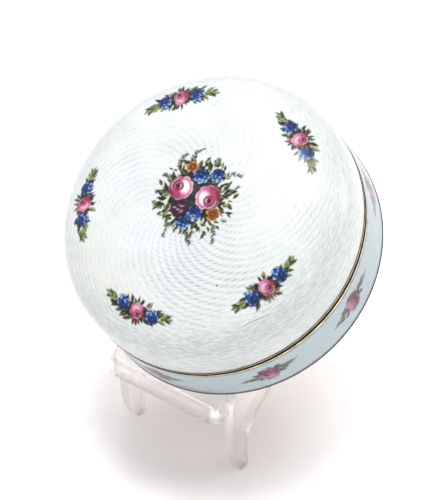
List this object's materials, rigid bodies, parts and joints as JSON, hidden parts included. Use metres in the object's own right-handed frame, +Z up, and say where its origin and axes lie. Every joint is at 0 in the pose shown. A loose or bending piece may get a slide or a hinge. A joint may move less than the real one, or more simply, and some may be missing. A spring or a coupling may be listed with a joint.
{
  "type": "enamelled trinket box on an easel",
  "caption": "Round trinket box with a domed lift-off lid in white engine-turned enamel with painted flowers, leaning on a small clear easel.",
  "frame": {"origin": "on the surface it stands on, in the middle of the whole object's plan", "axes": "+Z up, -Y to the front, where the lid faces, +X to the right seen from the front"},
  "size_m": [0.0774, 0.0768, 0.0896],
  "materials": {
    "white_enamel": "glossy translucent white over engine turning, with painted flowers",
    "gilt_metal": "gilt, lightly worn, darkened in the seam",
    "clear_plastic": "clear, polished"
  },
  "bodies": {
    "root": {"base_plate": "gilt_metal", "base_wall": "white_enamel", "base_rim": "gilt_metal", "lid_rim": "gilt_metal", "lid_shell": "white_enamel", "easel_side_left": "clear_plastic", "easel_side_right": "clear_plastic", "easel_front_lip": "clear_plastic", "easel_back": "clear_plastic"}
  },
  "joints": []
}
